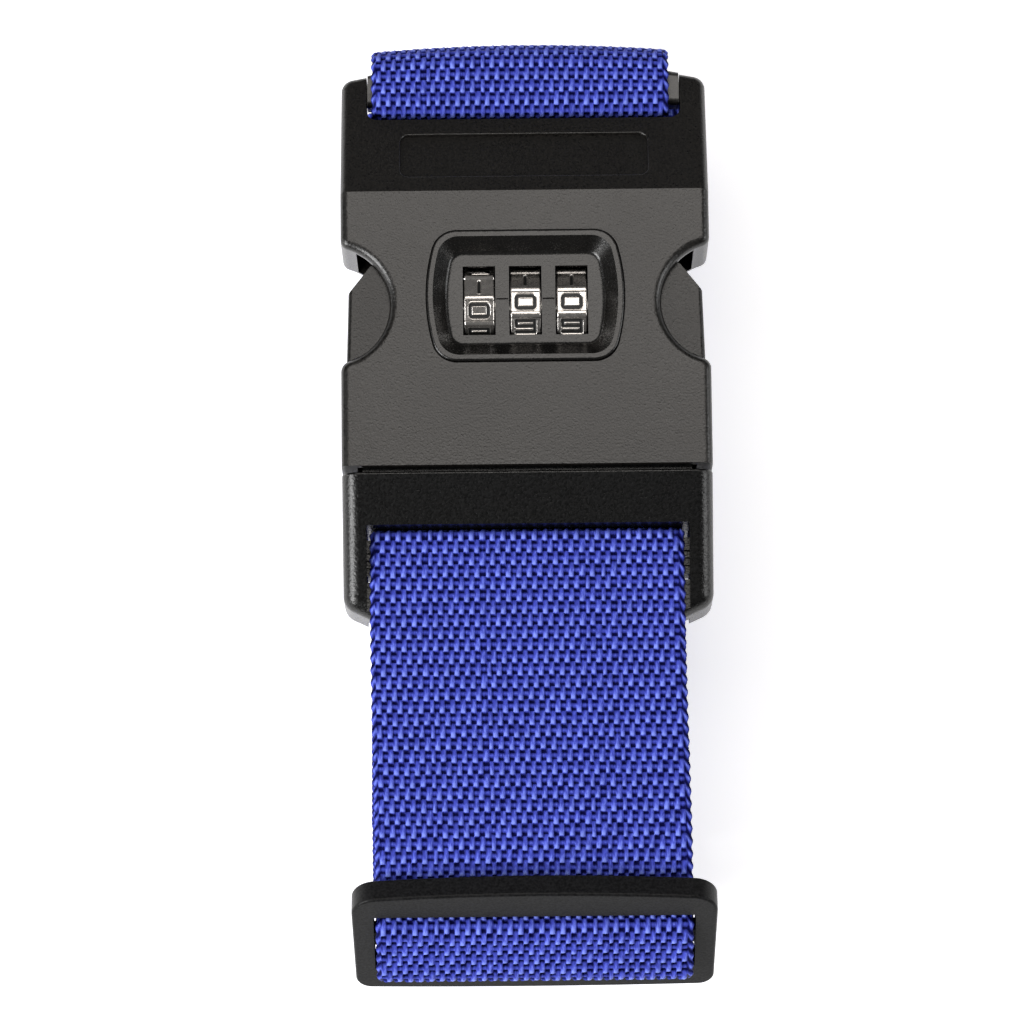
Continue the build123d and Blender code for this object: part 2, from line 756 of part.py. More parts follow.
def stitch_box(x0, x1, y0, y1, z0, z1):
    """A sewn rectangle with a cross in it."""
    half = 0.35
    lines = block(x0, x1, y0 - half, y0 + half, z0, z1) + block(x0, x1, y1 - half, y1 + half, z0, z1)
    lines += block(x0 - half, x0 + half, y0, y1, z0, z1) + block(x1 - half, x1 + half, y0, y1, z0, z1)
    length = math.hypot(x1 - x0, y1 - y0)
    turn = math.degrees(math.atan2(y1 - y0, x1 - x0))
    for sign in (-1, 1):
        bar = Rot(0, 0, sign * turn) * Box(length, 2 * half, z1 - z0)
        lines += Pos((x0 + x1) / 2, (y0 + y1) / 2, (z0 + z1) / 2) * bar
    return lines


def make_end_stitching():
    """Thread on the underside of the slider's sewn end."""
    z = turn_z + sewn_radius - web_thick / 2
    half = web_width / 2 - 4.0
    return stitch_box(-half, half, turn_y + 0.8, turn_y + 8.6, z - 0.25, z)


def make_housing_wrap():
    """The webbing round the housing's web bar."""
    points = [
        (back_layer_high, back_layer_z),
        (wrap_high_y, back_layer_z),
        (wrap_high_y, wrap_front_z),
        (wrap_low_y, wrap_front_z),
        (wrap_low_y, tail_z),
        (tail_high, tail_z),
    ]
    return ribbon(points, [4.5, 4.5, 2.4, 0.9], width=wrap_width, shift=wrap_shift)


def make_back_layer():
    """The strap's last layer, next to the buckle's back."""
    return ribbon([(turn_y + 6.0, back_layer_z), (back_layer_high, back_layer_z)], None)


def make_housing_tail():
    """The strap's other cut end, sewn to the back layer behind the housing."""
    return ribbon([(tail_high, tail_z), (tail_low, tail_z)], None, width=wrap_width, shift=wrap_shift)


def make_tail_stitching():
    """Thread on the face of the housing's sewn end."""
    z = tail_z + web_thick / 2
    half = wrap_width / 2 - 4.5
    return stitch_box(wrap_shift - half, wrap_shift + half, tail_low + 2.0, tail_high - 5.5, z, z + 0.2)


# ---------------------------------------------------------------- build

housing = housing_block()
save(make_front_shell(housing), "front_shell")
save(make_back_shell(housing), "back_shell")
save(make_web_bar(), "web_bar")
save(make_screws(), "housing_screws")
save(make_bezel(), "dial_bezel")
for number, (place, turned) in enumerate(zip(dial_places, dial_turns), start=1):
    save(make_dial(place, turned), f"dial_{number}")
    save(make_sleeve(place, turned), f"dial_sleeve_{number}")
save(make_axle(), "dial_axle")
save(make_detent_spring(), "detent_spring")
save(make_lock_bar(), "lock_bar")
save(make_lock_spring(), "lock_spring")
save(make_reset_lever(), "reset_lever")
save(make_reset_spring(), "reset_spring")
save(make_plug_frame(), "plug_frame")
right_arm = make_arm()
save(right_arm, "right_arm")
save(mirrored(right_arm), "left_arm")
save(make_slider_frame(), "slider_frame")
save(make_slider_wave(), "slider_wave")
save(make_end_loop(), "end_loop")
save(make_hank(), "strap_hank")
save(make_front_leg(), "front_leg")
save(make_plug_wrap(), "plug_wrap")
save(make_rear_leg(), "rear_leg")
save(make_sewn_end(), "sewn_end")
save(make_end_stitching(), "end_stitching")
save(make_bottom_turn(), "bottom_turn")
save(make_housing_wrap(), "housing_wrap")
save(make_back_layer(), "back_layer")
save(make_housing_tail(), "housing_tail")
save(make_tail_stitching(), "tail_stitching")
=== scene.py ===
"""Looks for a folded luggage strap: woven webbing, moulded plastics and engraved dials.

Lengths are in millimetres until a mesh is made. +Z comes out of the dials and +Y points at the web bar.
"""

import math

import bpy
import numpy as np
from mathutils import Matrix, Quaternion, Vector


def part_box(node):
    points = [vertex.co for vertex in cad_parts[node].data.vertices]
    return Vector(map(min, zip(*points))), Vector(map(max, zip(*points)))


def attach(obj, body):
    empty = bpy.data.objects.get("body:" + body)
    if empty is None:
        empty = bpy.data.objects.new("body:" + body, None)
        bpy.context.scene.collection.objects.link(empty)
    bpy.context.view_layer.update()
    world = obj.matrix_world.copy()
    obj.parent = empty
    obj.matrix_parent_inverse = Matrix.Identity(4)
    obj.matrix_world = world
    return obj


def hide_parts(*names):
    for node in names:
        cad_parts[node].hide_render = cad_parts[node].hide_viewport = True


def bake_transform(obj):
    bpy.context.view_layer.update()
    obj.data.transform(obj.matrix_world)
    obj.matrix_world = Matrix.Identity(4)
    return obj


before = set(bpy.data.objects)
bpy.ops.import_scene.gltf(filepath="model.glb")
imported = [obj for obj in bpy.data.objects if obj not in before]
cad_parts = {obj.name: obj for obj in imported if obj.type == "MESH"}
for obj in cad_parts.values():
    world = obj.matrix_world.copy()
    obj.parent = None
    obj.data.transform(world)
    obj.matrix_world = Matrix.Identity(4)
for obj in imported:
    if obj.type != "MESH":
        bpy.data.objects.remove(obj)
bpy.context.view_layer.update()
MM = 0.001


def box_mm(node):
    """A CAD node's lowest and highest corners, in millimetres."""
    low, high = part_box(node)
    return np.array(low) / MM, np.array(high) / MM


# ---------------------------------------------------------------- places taken from the frame

leg_low, leg_high = box_mm("front_leg")
layer_low, layer_high = box_mm("back_layer")
turn_low = box_mm("bottom_turn")[0]
plug_wrap_low, plug_wrap_high = box_mm("plug_wrap")
wrap_low, wrap_high = box_mm("housing_wrap")
tail_low, tail_high = box_mm("housing_tail")
rear_high = box_mm("rear_leg")[1]
hank_low, hank_high = box_mm("strap_hank")

web_width = leg_high[0] - leg_low[0]
web_thick = layer_high[2] - layer_low[2]
half_thick = web_thick / 2
front_z = leg_high[2] - half_thick
turn_radius = (front_z - turn_low[2] - half_thick) / 2
turn_z = front_z - turn_radius
turn_y = turn_low[1] + turn_radius + half_thick
back_layer_z = (layer_low[2] + layer_high[2]) / 2
tail_z = (tail_low[2] + tail_high[2]) / 2

# ---------------------------------------------------------------- the weave

warp_ends = 60
warp_pitch = web_width / warp_ends
pick_pitch = 1.98
relief = 0.52
least_height = 0.12

# The warp: how far its floats wander, lean and round off, and where they rise out of a hole
wobble = 0.16
wobble_along = 0.9
wobble_between = 2.4
float_slant = 0.45
float_round = 0.72
float_start = -0.38
float_rise = 0.36
float_shoulder = 0.34
later_start = -0.5

# The weft, a round bead across the webbing
weft_radius = 0.44
weft_level = 0.80

# Painted shading: each yarn's painted shade, darkest in the holes, and the painted highlights that the
# crown, the later end and the glint add to the warp's
shade_start = -0.36
shade_rise = 0.30
warp_shade = 0.38
crown_shade = 0.36
later_shade = 0.10
glint_shade = 1.5
glint_later = 0.55
glint_crown = 0.5
weft_shade = 0.66
weft_falloff = 1.5
weft_side_shade = 0.55
weft_round = 0.9

# The selvedges, bound by the weft's loops
selvedge_round = 0.75
selvedge_least = 0.06
selvedge_loop = 0.13
loop_reach = 1.0
loop_lean = 1.9
edge_level = 0.22
edge_rise = 0.72
# Painted shading on the selvedge loops: its level, and what their crowns add
edge_shade = 0.3
edge_crown_shade = 0.6

# How finely rounded corners and the bands' rows are cut
arc_steps = 12
fewest_rows = 3


def smooth(t):
    """0 below 0, 1 above 1, and a smooth step between."""
    t = np.clip(t, 0, 1)
    return t * t * (3 - 2 * t)


def weave(x, v, face):
    """The woven surface at x across and v along: its lift, 0 in a hole to 1 on a float, and its painted
    shading, dark in the holes and lit with painted highlights on the floats.
    """
    column = np.clip(np.floor(x / warp_pitch), 0, warp_ends - 1)
    across = 2 * (x / warp_pitch - column) - 1
    # The yarns are not quite even, so the picks wander a little from end to end
    phase = np.pi * v / pick_pitch + wobble * np.sin(wobble_along * v + wobble_between * column)
    sign = np.where(column % 2 == 0, face, -face)
    over = sign * np.cos(phase)
    # A float leans a little, and its later end gets a painted highlight
    later = sign * np.sin(phase) * (over > later_start)
    crown = np.sqrt(np.clip(1 - float_round * (across + float_slant * face * later) ** 2, 0, 1))
    warp = smooth((over - float_start) / float_rise) * (float_shoulder + (1 - float_shoulder) * crown)
    from_pick = (v / pick_pitch - np.round(v / pick_pitch)) * pick_pitch
    bead = np.sqrt(np.clip(1 - (from_pick / weft_radius) ** 2, 0, 1))
    lift = np.maximum(warp, weft_level * bead)
    # Painted shading: dark where a warp end dips into a hole, lit on the crowns, with a painted glint at a
    # float's later end, and painted light on the weft bead's middle that falls off towards its sides
    glint = np.clip(later - glint_later, 0, 1) * np.clip(crown - glint_crown, 0, 1)
    added = crown_shade * crown + later_shade * later + glint_shade * glint
    warp_painted_shading = smooth((over - shade_start) / shade_rise) * (warp_shade + added)
    weft_side = np.sqrt(1 - weft_round * across**2)
    weft_painted_shading = weft_shade * bead**weft_falloff * (weft_side_shade + (1 - weft_side_shade) * weft_side)
    painted_shading = np.maximum(warp_painted_shading, weft_painted_shading)
    # The outer end on each side is bound by the weft's loops, which lean over it
    lean = np.where(column < 1, 1.0, -1.0) * face
    loops = (1 + np.cos(2 * phase + loop_lean * lean * across)) / 2
    edge = edge_level + edge_rise * loops * crown
    # The selvedge loops get painted shading too, lit on their crowns and dark between them
    edge_painted_shading = loops * (edge_shade + edge_crown_shade * crown)
    is_edge = (column < 1) | (column > warp_ends - 2)
    return np.where(is_edge, edge, lift), np.where(is_edge, edge_painted_shading, painted_shading)


def across_stations(cells, edge_columns=None):
    """Stations across the webbing from 0 to its width, with some cells for each warp end.

    With edge_columns, only that many ends on each side are fine, and the hidden middle is coarse.
    """
    fractions = np.arange(warp_ends * cells + 1) / cells
    if edge_columns is None:
        return fractions * warp_pitch
    inner = warp_ends - 2 * edge_columns
    kept = (fractions <= edge_columns) | (fractions >= warp_ends - edge_columns)
    quarters = np.array([1, 2, 3]) / 4
    return np.sort(np.concatenate([fractions[kept], edge_columns + inner * quarters])) * warp_pitch


# ---------------------------------------------------------------- routes in the Y-Z plane


def rounded(corners, radii):
    """A dense line through (y, z) corners, each rounded to its own radius."""
    corners = [np.array(c, float) for c in corners]
    line = [corners[0]]
    for before, corner, after, radius in zip(corners, corners[1:], corners[2:], radii):
        a = (before - corner) / np.linalg.norm(before - corner)
        b = (after - corner) / np.linalg.norm(after - corner)
        half = math.acos(float(np.clip(a @ b, -1, 1))) / 2
        inward = (a + b) / np.linalg.norm(a + b)
        centre = corner + inward * radius / math.sin(half)
        start = corner + a * radius / math.tan(half) - centre
        end = corner + b * radius / math.tan(half) - centre
        turn = math.atan2(start[0] * end[1] - start[1] * end[0], start @ end)
        for k in range(arc_steps + 1):
            angle = turn * k / arc_steps
            c, s = math.cos(angle), math.sin(angle)
            line.append(centre + np.array([c * start[0] - s * start[1], s * start[0] + c * start[1]]))
    line.append(corners[-1])
    return np.array(line)


def bend(angle0, angle1, radius):
    """A dense arc round the bottom turn, with angles in degrees from its top and a point for each."""
    angles = np.radians(np.linspace(angle0, angle1, int(abs(angle1 - angle0))))
    return np.column_stack([turn_y - radius * np.sin(angles), turn_z + radius * np.cos(angles)])


def along(line):
    """The length from a line's start to each of its points."""
    steps = np.linalg.norm(np.diff(line, axis=0), axis=1)
    return np.concatenate([[0.0], np.cumsum(steps)])


def part_of(line, start, end):
    """The stretch of a line between two lengths."""
    s = along(line)
    inner = line[(s > start) & (s < end)]
    ends = [np.array([np.interp(t, s, line[:, 0]), np.interp(t, s, line[:, 1])]) for t in (start, end)]
    return np.vstack([ends[:1], inner, ends[1:]])


# ---------------------------------------------------------------- meshes


def tube_faces(index):
    """Four-sided faces between the rings of a tube, from a grid of vertex numbers by ring and place."""
    turned = np.roll(index, -1, axis=1)
    return np.stack([index[:-1], index[1:], turned[1:], turned[:-1]], axis=-1).reshape(-1, 4)


def new_object(name, verts, faces, attributes=(), uv=None, sharp=None):
    """A smooth-shaded mesh object from millimetre vertices, at the origin of the frame.

    attributes are (name, values) pairs. sharp numbers each vertex's ring, or -1 for none: the edges
    along a numbered ring are sharp.
    """
    mesh = bpy.data.meshes.new(name)
    mesh.from_pydata((np.asarray(verts) * MM).tolist(), [], faces)
    mesh.update()
    mesh.shade_smooth()
    for key, values in attributes:
        attribute = mesh.attributes.new(key, "FLOAT", "POINT")
        attribute.data.foreach_set("value", np.asarray(values, np.float32))
    if uv is not None:
        layer = mesh.uv_layers.new(name="weave")
        corner = np.zeros(len(mesh.loops), np.int32)
        mesh.loops.foreach_get("vertex_index", corner)
        layer.data.foreach_set("uv", np.asarray(uv, np.float32)[corner].ravel())
    if sharp is not None:
        ends = np.zeros(2 * len(mesh.edges), np.int32)
        mesh.edges.foreach_get("vertices", ends)
        ends = ends.reshape(-1, 2)
        ring = sharp[ends]
        mask = (ring[:, 0] >= 0) & (ring[:, 0] == ring[:, 1])
        mesh.attributes.new("sharp_edge", "BOOLEAN", "EDGE").data.foreach_set("value", mask)
    obj = bpy.data.objects.new(name, mesh)
    bpy.context.scene.collection.objects.link(obj)
    return obj


def rows_along(line, per_pick):
    """Even rows along a line: the length to each, its centre and the normal there."""
    s = along(line)
    count = max(fewest_rows, int(round(s[-1] / pick_pitch * per_pick)) + 1)
    at = np.linspace(0, s[-1], count)
    centre = np.column_stack([np.interp(at, s, line[:, 0]), np.interp(at, s, line[:, 1])])
    tangent = np.gradient(centre, at, axis=0)
    tangent[0] = line[1] - line[0]
    tangent[-1] = line[-1] - line[-2]
    tangent /= np.linalg.norm(tangent, axis=1)[:, None]
    return at, centre, np.column_stack([tangent[:, 1], -tangent[:, 0]])


def end_caps(index):
    """Faces that close a band's first and last rings, from its grid of vertex numbers."""
    half = index.shape[1] // 2
    caps = []
    for ring, flip in ((index[0], False), (index[-1], True)):
        top, bottom = ring[:half], ring[half:][::-1]
        quads = np.stack([top[:-1], top[1:], bottom[1:], bottom[:-1]], axis=-1)
        caps.append(quads[:, ::-1] if flip else quads)
    return caps


def band(line, start_v=0.0, stations=None, per_pick=8, width=None, shift=0.0):
    """One closed woven band along a line: vertices, faces, painted shading, weave coordinates and its end
    rings.

    shift moves it to +X, by a number or by a function of the length along the webbing.
    """
    x = across_stations(4) if stations is None else stations
    scale = 1.0 if width is None else width / web_width
    at, centre, normal = rows_along(line, per_pick)
    count = len(at)
    v = (start_v + at)[:, None]
    shifts = np.broadcast_to(shift(start_v + at) if callable(shift) else shift, count)
    edge_distance = np.minimum(x, web_width - x)
    side = np.where(x < web_width / 2, -1.0, 1.0)
    inset = 1 - np.minimum(edge_distance / selvedge_round, 1)
    round_off = np.sqrt(np.clip(1 - inset**2, selvedge_least, 1))
    loop_share = np.clip(1 - edge_distance / loop_reach, 0, 1)
    loops = selvedge_loop * np.cos(2 * np.pi * v / pick_pitch) * loop_share
    px = ((x - web_width / 2) * scale)[None, :] + side * loops + shifts[:, None]
    grid = (count, len(x))
    rows = []
    painted_shading_rows = []
    for face in (1, -1):
        lift, painted_shading = weave(np.broadcast_to(x, grid), np.broadcast_to(v, grid), face)
        height = half_thick * round_off[None, :] - relief * (1 - lift)
        height = face * np.maximum(height, least_height)
        y = centre[:, :1] + normal[:, :1] * height
        z = centre[:, 1:] + normal[:, 1:] * height
        rows.append(np.dstack([px, y, z]))
        painted_shading_rows.append(painted_shading)
    rings = np.concatenate([rows[0], rows[1][:, ::-1]], axis=1)
    painted_shading = np.concatenate([painted_shading_rows[0], painted_shading_rows[1][:, ::-1]], axis=1)
    u = np.concatenate([x, x[::-1]]) / warp_pitch
    around = rings.shape[1]
    uv = np.dstack([np.broadcast_to(u, (count, around)), np.broadcast_to(v / pick_pitch, (count, around))])
    index = np.arange(count * around).reshape(count, around)
    ring_id = np.full(count * around, -1)
    ring_id[index[0]] = 0
    ring_id[index[-1]] = 1
    return {
        "verts": rings.reshape(-1, 3),
        "faces": np.concatenate([tube_faces(index)] + end_caps(index)),
        "painted_shading": painted_shading.ravel(),
        "uv": uv.reshape(-1, 2),
        "ring": ring_id,
        "length": float(at[-1]),
        "width": web_width * scale,
    }


def webbing(name, bands, nodes, reshape=None):
    """A piece of webbing from one or more bands, standing for CAD nodes."""
    verts = []
    faces = []
    start = 0
    for part in bands:
        verts.append(part["verts"])
        faces.append(part["faces"] + start)
        start += len(part["verts"])
    points = np.concatenate(verts)
    if reshape is not None:
        points = reshape(points)
    ring = np.concatenate([p["ring"] for p in bands])
    painted_shading = np.concatenate([p["painted_shading"] for p in bands])
    uv = np.concatenate([p["uv"] for p in bands])
    obj = new_object(name, points, np.concatenate(faces).tolist(), [("painted_shading", painted_shading)], uv, ring)
    obj.data.materials.append(webbing_material)
    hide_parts(*nodes)
    return obj


# ---------------------------------------------------------------- materials


# Plastics: broad patches, and how far they and the grain move the roughness and the surface
patch_scale = 60.0
patch_roughness = 0.05
grain_roughness = 0.15
grain_slope = 0.1

# Metals: fine lines, and how far the spots of tarnish move the roughness and the shade
line_scale = 2500.0
tarnish_roughness = 0.16
tarnish_shade = 0.8


class Nodes:
    """A short way to write a material's node tree."""

    def __init__(self, name):
        self.material = bpy.data.materials.new(name)
        self.material.use_nodes = True
        self.tree = self.material.node_tree
        self.shader = self.tree.nodes["Principled BSDF"]

    def add(self, kind, inputs=(), **settings):
        """A node with settings, and inputs given as (name or index, value or socket)."""
        node = self.tree.nodes.new(kind)
        for key, value in settings.items():
            setattr(node, key, value)
        for key, value in inputs:
            self.set(node.inputs[key], value)
        return node

    def set(self, socket, value):
        """Links a socket to another one, or gives it a plain value."""
        if isinstance(value, bpy.types.NodeSocket):
            self.tree.links.new(value, socket)
        else:
            socket.default_value = value

    def math(self, operation, a, b=0.0, clamp=False):
        """The result of one arithmetic step."""
        node = self.add("ShaderNodeMath", [(0, a), (1, b)], operation=operation, use_clamp=clamp)
        return node.outputs[0]

    def spread(self, value, amount):
        """A noise value about a middle of 0, spread by an amount."""
        return self.math("MULTIPLY", self.math("SUBTRACT", value, 0.5), amount)

    def place(self):
        """The place on the object, in metres."""
        return self.add("ShaderNodeTexCoord").outputs["Object"]

    def noise(self, vector, scale, detail=2.0, roughness=0.5):
        """A noise value along a vector."""
        inputs = [("Vector", vector), ("Scale", scale), ("Detail", detail), ("Roughness", roughness)]
        return self.add("ShaderNodeTexNoise", inputs).outputs["Fac"]

    def ramp(self, value, low, high, colour0, colour1):
        """A colour that runs from colour0 at low to colour1 at high."""
        share = self.add("ShaderNodeMapRange", [("Value", value), ("From Min", low), ("From Max", high)])
        mix = self.add("ShaderNodeMix", [(0, share.outputs[0])], data_type="RGBA")
        self.set(mix.inputs[6], (*colour0, 1.0))
        self.set(mix.inputs[7], (*colour1, 1.0))
        return mix.outputs[2]

    def bump(self, height, distance, strength):
        """A bump from a height value, with its distance in metres."""
        inputs = [("Height", height), ("Distance", distance), ("Strength", strength)]
        return self.add("ShaderNodeBump", inputs).outputs["Normal"]

    def finish(self, **values):
        """Sets the shader's own sockets, by name with spaces as underscores."""
        for key, value in values.items():
            socket = self.shader.inputs[key.replace("_", " ")]
            self.set(socket, (*value, 1.0) if isinstance(value, tuple) and len(value) == 3 else value)
        return self.material


def make_webbing_material():
    """Royal blue multifilament yarn: floats lit with a painted sheen, painted shade in the holes, fine
    filaments along the warp.
    """
    n = Nodes("blue_webbing")
    painted_shading = n.add("ShaderNodeAttribute", attribute_name="painted_shading").outputs["Fac"]
    uv = n.add("ShaderNodeUVMap", uv_map="weave").outputs["UV"]
    mapping = [("Vector", uv), ("Scale", (2.6, 1.5, 1.0)), ("Rotation", (0, 0, 0.25))]
    along_yarn = n.add("ShaderNodeMapping", mapping).outputs[0]
    filaments = n.noise(along_yarn, scale=1.0, detail=3.0, roughness=0.65)
    patches = n.noise(n.place(), scale=420.0, detail=3.0)
    varied = n.math("ADD", painted_shading, n.spread(filaments, 0.85))
    # The painted shading runs from painted shade in the holes to the lit royal blue of the floats, and a
    # pale painted highlight is added where it is highest
    hole_shade_blue = (0.0010, 0.0008, 0.042)
    royal = (0.058, 0.077, 0.505)
    black = (0.0, 0.0, 0.0)
    highlight_pale = (0.125, 0.165, 0.225)
    yarn = n.ramp(varied, 0.13, 0.80, hole_shade_blue, royal)
    painted_sheen = n.ramp(varied, 0.62, 1.05, black, highlight_pale)
    shade = n.add("ShaderNodeVectorMath", [(0, yarn), (1, painted_sheen)], operation="ADD").outputs[0]
    gain = n.math("ADD", n.math("MULTIPLY", patches, 0.7), 0.65)
    scaled = n.add("ShaderNodeVectorMath", [(0, shade), ("Scale", gain)], operation="SCALE").outputs[0]
    return n.finish(
        Base_Color=scaled,
        Roughness=0.55,
        Normal=n.bump(filaments, distance=0.00015, strength=0.8),
        Specular_IOR_Level=0.08,
        Specular_Tint=(0.55, 0.65, 1.0),
    )


def make_plastic(name, colour, roughness, grain_scale, grain, level=0.5, speck=0.5):
    """Moulded nylon: a fine spark-eroded grain in bump, roughness and shade, with broad soft patches.

    grain is the bump's strength, level the shine and speck the share by which the grain shades it.
    """
    n = Nodes(name)
    where = n.place()
    fine = n.noise(where, grain_scale, roughness=0.6)
    broad = n.noise(where, patch_scale, detail=3.0)
    rough = n.math("ADD", n.spread(broad, patch_roughness), roughness)
    rough = n.math("ADD", rough, n.spread(fine, grain_roughness), clamp=True)
    dark = tuple((1 - speck) * c for c in colour)
    light = tuple((1 + speck) * c for c in colour)
    return n.finish(
        Base_Color=n.ramp(fine, 0.35, 0.65, dark, light),
        Roughness=rough,
        Normal=n.bump(fine, distance=grain_slope / grain_scale, strength=grain),
        Specular_IOR_Level=level,
    )


def make_metal(name, colour, roughness, brushed=(1.0, 1.0, 1.0)):
    """Plated or drawn metal with fine lines and a little tarnish, which only adds to its roughness."""
    n = Nodes(name)
    where = n.place()
    drawn = n.add("ShaderNodeMapping", [("Vector", where), ("Scale", brushed)]).outputs[0]
    lines = n.noise(drawn, line_scale, detail=3.0)
    spots = n.noise(where, scale=700.0, detail=4.0, roughness=0.6)
    rough = n.math("ADD", n.math("MULTIPLY", spots, tarnish_roughness), roughness)
    shade = n.ramp(spots, 0.35, 0.7, colour, tuple(tarnish_shade * c for c in colour))
    return n.finish(
        Base_Color=shade,
        Metallic=1.0,
        Roughness=rough,
        Normal=n.bump(lines, distance=0.00002, strength=0.35),
    )


def make_dial_material():
    """Bright chrome faces, with black paint at the bottom of the engraved numbers."""
    n = Nodes("dial_chrome")
    ink = n.add("ShaderNodeAttribute", attribute_name="ink").outputs["Fac"]
    spots = n.noise(n.place(), scale=900.0, detail=4.0, roughness=0.6)
    mask = n.math("MULTIPLY", n.math("SUBTRACT", ink, 0.35), 4.0, clamp=True)
    chrome = (0.62, 0.59, 0.56)
    paint = (0.003, 0.003, 0.003)
    shade = n.ramp(mask, 0.0, 1.0, chrome, paint)
    rough = n.math("ADD", n.math("MULTIPLY", spots, 0.24), n.math("MULTIPLY", mask, 0.25))
    rough = n.math("ADD", rough, 0.14)
    return n.finish(
        Base_Color=shade,
        Metallic=n.math("SUBTRACT", 1.0, mask),
        Roughness=rough,
        Normal=n.bump(spots, distance=0.00008, strength=0.5),
    )


webbing_material = make_webbing_material()
dial_material = make_dial_material()
# Each plastic's colour, roughness, scale of grain and strength of grain
thread_material = make_plastic("blue_thread", (0.03, 0.045, 0.30), 0.5, 9000.0, 0.8)
housing_material = make_plastic("housing_nylon", (0.0048, 0.0042, 0.0036), 0.30, 3000.0, 1.5, speck=0.9)
plug_material = make_plastic("plug_nylon", (0.002, 0.002, 0.002), 0.28, 2500.0, 1.7, level=0.42, speck=0.9)
arm_material = make_plastic("arm_nylon", (0.0048, 0.0043, 0.0038), 0.30, 3000.0, 1.5, level=0.42, speck=0.9)
bezel_material = make_plastic("bezel_nylon", (0.0034, 0.0031, 0.0028), 0.26, 3000.0, 0.9)
slider_material = make_plastic("slider_nylon", (0.0085, 0.0085, 0.0090), 0.36, 2600.0, 0.8, level=0.10)
bar_material = make_plastic("bar_nylon", (0.022, 0.021, 0.020), 0.36, 2900.0, 0.6, level=0.7)
inner_material = make_plastic("inner_acetal", (0.30, 0.29, 0.27), 0.42, 5200.0, 0.20, speck=0.1)
# Each metal's colour and least roughness
steel_material = make_metal("drawn_steel", (0.56, 0.55, 0.53), 0.25, (1.0, 0.15, 1.0))
sleeve_material = make_metal("sleeve_zinc", (0.60, 0.58, 0.55), 0.29)

cad_materials = {
    "front_shell": housing_material,
    "back_shell": housing_material,
    "web_bar": bar_material,
    "housing_screws": steel_material,
    "dial_bezel": bezel_material,
    "dial_sleeve_1": sleeve_material,
    "dial_sleeve_2": sleeve_material,
    "dial_sleeve_3": sleeve_material,
    "dial_axle": steel_material,
    "detent_spring": steel_material,
    "lock_bar": inner_material,
    "lock_spring": steel_material,
    "reset_lever": arm_material,
    "reset_spring": steel_material,
    "plug_frame": plug_material,
    "right_arm": arm_material,
    "left_arm": arm_material,
    "slider_frame": slider_material,
}
for node, material in cad_materials.items():
    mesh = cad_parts[node].data
    mesh.materials.clear()
    mesh.materials.append(material)

# ---------------------------------------------------------------- webbing pieces

# The slider's frame stands at this angle round the bottom turn, and the sheets end at these angles
slider_angle = math.radians(61.0)
slider_radius = 16.4
leg_end = 33.0
turn_start = 89.0
plug_shift = -0.15
slider_shift = 0.4
medium = across_stations(2)
edges_only = across_stations(4, edge_columns=2)


def slider_route(points):
    """Slider points (u up the frame, n out of it) as (y, z) points."""
    sine, cosine = math.sin(slider_angle), math.cos(slider_angle)
    out = []
    for u, n in points:
        r = slider_radius + n
        out.append((turn_y - r * sine + u * cosine, turn_z + r * cosine + u * sine))
    return out


plug_back_z = plug_wrap_low[2] + half_thick
plug_slot_y = plug_wrap_high[1] - half_thick
plug_end_y = plug_wrap_low[1]
plug_route = rounded(
    [(plug_end_y, plug_back_z), (plug_slot_y, plug_back_z), (plug_slot_y, front_z), (plug_end_y, front_z)],
    [1.0, 1.0],
)
plug_length = along(plug_route)[-1]
leg_route = np.vstack([[(plug_end_y, front_z)], bend(0, leg_end, turn_radius)])
leg_length = along(leg_route)[-1]


def lean_right(v):
    """The front leg drifts a little to the right on its way to the slider."""
    return plug_shift + (slider_shift - plug_shift) * smooth(v / leg_length)


plug_wrap = webbing(
    "plug_webbing",
    [band(plug_route, -plug_length, shift=lean_right)],
    ["plug_wrap"],
)
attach(plug_wrap, "strap")
front_leg = webbing(
    "front_webbing", [band(leg_route, 0.0, shift=lean_right)], ["front_leg"]
)

# Over the slider's centre bar, as (u, n) points
wave_lead = 1.9
wave_tilt = math.radians(28.0)
wave_start = (turn_radius * math.sin(wave_tilt), turn_radius * math.cos(wave_tilt) - slider_radius)
wave_inner = (
    wave_start[0] - wave_lead * math.cos(wave_tilt),
    wave_start[1] + wave_lead * math.sin(wave_tilt),
)
wave_points = [
    wave_start,
    wave_inner,
    (4.6, 4.95),
    (-3.6, 7.0),
    (-6.8, 6.7),
    (-4.7, 1.9),
    (-wave_inner[0], wave_inner[1]),
    (-wave_start[0], wave_start[1]),
]
wave_route = rounded(slider_route(wave_points), [0.8, 1.6, 2.2, 1.3, 2.0, 0.8])
wave_length = along(wave_route)[-1]
slider_wave = webbing(
    "slider_webbing",
    [band(wave_route, leg_length, shift=slider_shift)],
    ["slider_wave"],
)
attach(slider_wave, "slider")

turn_v = leg_length + wave_length
turn_route = bend(turn_start, 180, turn_radius)
turn_length = along(turn_route)[-1]


def drift_back(v):
    """The strap comes back from the slider's shift to the hank's middle."""
    return slider_shift * (1 - smooth((v - turn_v) / turn_length))


bottom_turn = webbing(
    "turn_webbing", [band(turn_route, turn_v, shift=drift_back)], ["bottom_turn"]
)

# Sewn loop on the slider's centre bar, then the leg that runs back to the plug
rear_radius = rear_high[2] - half_thick - turn_z
sewn_radius = rear_radius - web_thick
rear_leg_low = 44.0
loop_points = [(4.41, -1.96), (2.6, -0.5), (2.3, 3.7), (-2.3, 3.7), (-2.3, -0.1), (0.4, -0.9), (4.0, -3.3)]
loop_route = rounded(slider_route(loop_points), [0.9, 1.4, 1.4, 1.2, 2.2])
end_loop = webbing(
    "loop_webbing",
    [band(loop_route, 0.0, stations=medium, per_pick=6, shift=slider_shift)],
    ["end_loop"],
)
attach(end_loop, "slider")

